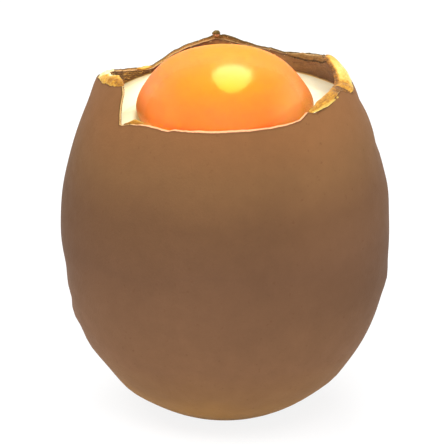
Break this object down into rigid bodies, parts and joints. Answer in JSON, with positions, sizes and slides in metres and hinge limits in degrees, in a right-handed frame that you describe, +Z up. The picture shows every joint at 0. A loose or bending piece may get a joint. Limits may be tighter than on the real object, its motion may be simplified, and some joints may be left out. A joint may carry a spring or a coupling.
{
  "type": "cracked eggshell with raw egg",
  "caption": "Brown hen's egg standing on its blunt end with the narrow end broken off, full of raw white and a domed yolk, torn skin curling at the jagged edge.",
  "frame": {"origin": "middle of the small flat spot on the blunt end that the egg stands on", "axes": "+Z up along the egg's long axis, out of the broken opening; -Y toward the low side of the break; +X to the right seen from that side"},
  "size_m": [0.0441, 0.044, 0.0509],
  "materials": {
    "shell": "satin",
    "white": "wet gloss",
    "yolk": "wet gloss",
    "skin": "satin",
    "crumb": "matt"
  },
  "bodies": {
    "root": {"shell": "shell", "white": "white", "yolk": "yolk", "curl_left": "skin", "curl_right": "skin", "curl_front": "skin", "curl_corner": "skin", "crumb_peak": "crumb"}
  },
  "joints": []
}
